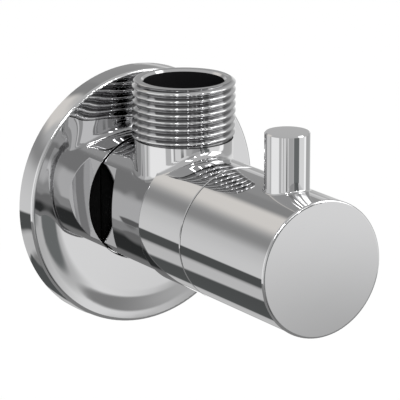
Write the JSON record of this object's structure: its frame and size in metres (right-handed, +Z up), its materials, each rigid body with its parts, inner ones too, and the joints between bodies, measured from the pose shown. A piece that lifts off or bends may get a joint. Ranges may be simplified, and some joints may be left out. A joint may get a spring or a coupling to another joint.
{
  "type": "isolating valve",
  "caption": "Chrome angle isolating valve with wall rosette, upright threaded outlet and a quarter-turn cylindrical handle with a lever pin.",
  "frame": {"origin": "where the valve's main axis crosses the finished wall, inside the inlet thread's span", "axes": "+Y runs into the wall along the inlet, +Z runs up along the outlet, +X is to the right seen from the front"},
  "size_m": [0.0544, 0.08, 0.0551],
  "materials": {
    "chrome_plate": "mirror-bright chrome plate on brass",
    "turned_brass": "bare turned brass",
    "spring_steel": "plain steel",
    "ceramic": "lapped alumina, off-white",
    "black_rubber": "matt black rubber",
    "white_plastic": "natural acetal",
    "grey_plastic": "moulded grey plastic"
  },
  "bodies": {
    "valve": {"valve_body": "chrome_plate", "headwork_body": "turned_brass", "fixed_disc": "ceramic", "seat_seal": "black_rubber", "seal_support_ring": "turned_brass", "bonnet_o_ring": "black_rubber", "thrust_washer": "white_plastic"},
    "turning": {"handle": "chrome_plate", "handle_grub_screw": "spring_steel", "spline_insert": "grey_plastic", "stop_ring": "white_plastic", "spindle": "turned_brass", "spindle_circlip": "spring_steel", "spindle_o_ring_inner": "black_rubber", "spindle_o_ring_outer": "black_rubber", "turning_disc": "ceramic"},
    "rosette": {"wall_rosette": "chrome_plate", "rosette_grip_ring": "black_rubber"}
  },
  "joints": [
    {"name": "handle_turn", "type": "hinge", "parent": "valve", "child": "turning", "pos_m": [0, 0, 0], "axis": [0, 1, 0], "range_deg": [0, 90]},
    {"name": "rosette_slide", "type": "slide", "parent": "valve", "child": "rosette", "axis": [0, -1, 0], "range_m": [0, 0.003]}
  ]
}
